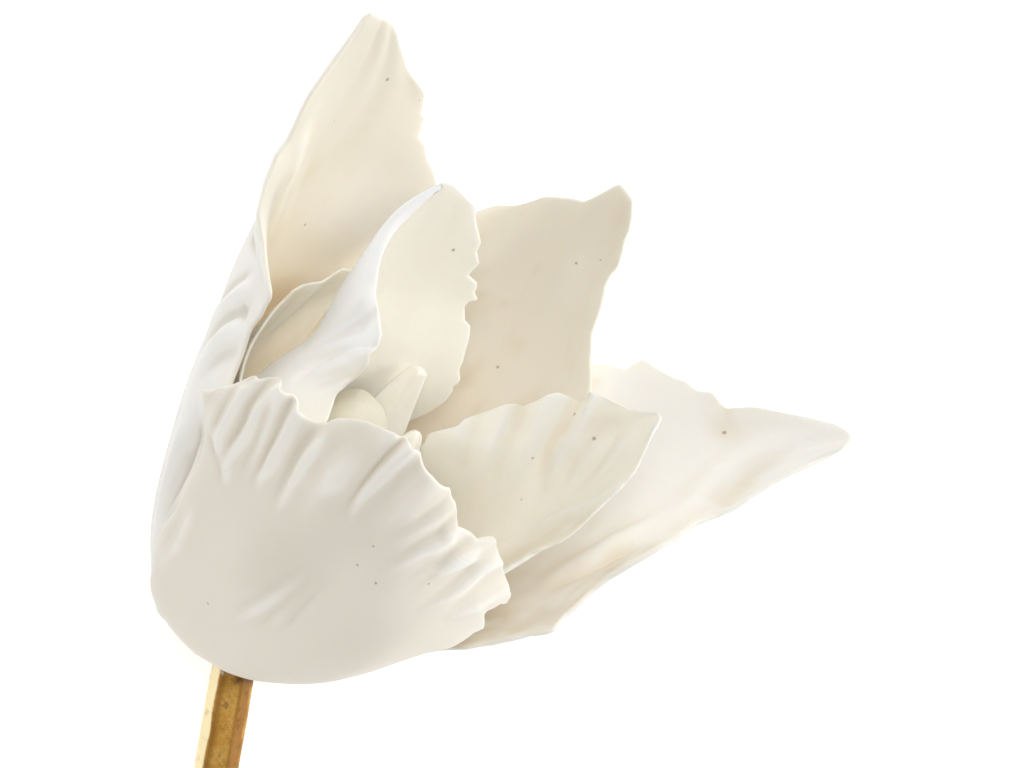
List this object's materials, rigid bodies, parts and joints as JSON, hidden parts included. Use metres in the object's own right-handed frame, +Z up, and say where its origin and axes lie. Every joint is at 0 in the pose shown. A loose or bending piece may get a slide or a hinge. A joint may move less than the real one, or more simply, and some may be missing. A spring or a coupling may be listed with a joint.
{
  "type": "porcelain tulip flower on gilded stem",
  "caption": "Handmade white porcelain tulip bloom with waved, ragged petals, pistil and stamens, on a straight gilded rod as its stem, lying on its side.",
  "frame": {"origin": "centre of the bounding box's base, on the surface that the flower lies on", "axes": "+Z up from the surface, +Y from the rod's cut end towards the bloom, +X to the side that the widest petal opens to"},
  "size_m": [0.0998, 0.2078, 0.0574],
  "materials": {
    "gilded_metal": "satin",
    "receptacle_porcelain": "matte",
    "outer_petal_porcelain": "matte",
    "inner_petal_porcelain": "matte",
    "pistil_porcelain": "matte",
    "stamen_porcelain": "matte"
  },
  "bodies": {
    "root": {"stem": "gilded_metal", "receptacle": "receptacle_porcelain", "outer_petal_front": "outer_petal_porcelain", "outer_petal_right": "outer_petal_porcelain", "outer_petal_back_left": "outer_petal_porcelain", "inner_petal_back": "inner_petal_porcelain", "inner_petal_right": "inner_petal_porcelain", "inner_petal_left": "inner_petal_porcelain", "inner_petal_small": "inner_petal_porcelain", "pistil": "pistil_porcelain", "stamen_1": "stamen_porcelain", "stamen_2": "stamen_porcelain", "stamen_3": "stamen_porcelain", "stamen_4": "stamen_porcelain", "stamen_5": "stamen_porcelain", "stamen_6": "stamen_porcelain"}
  },
  "joints": []
}
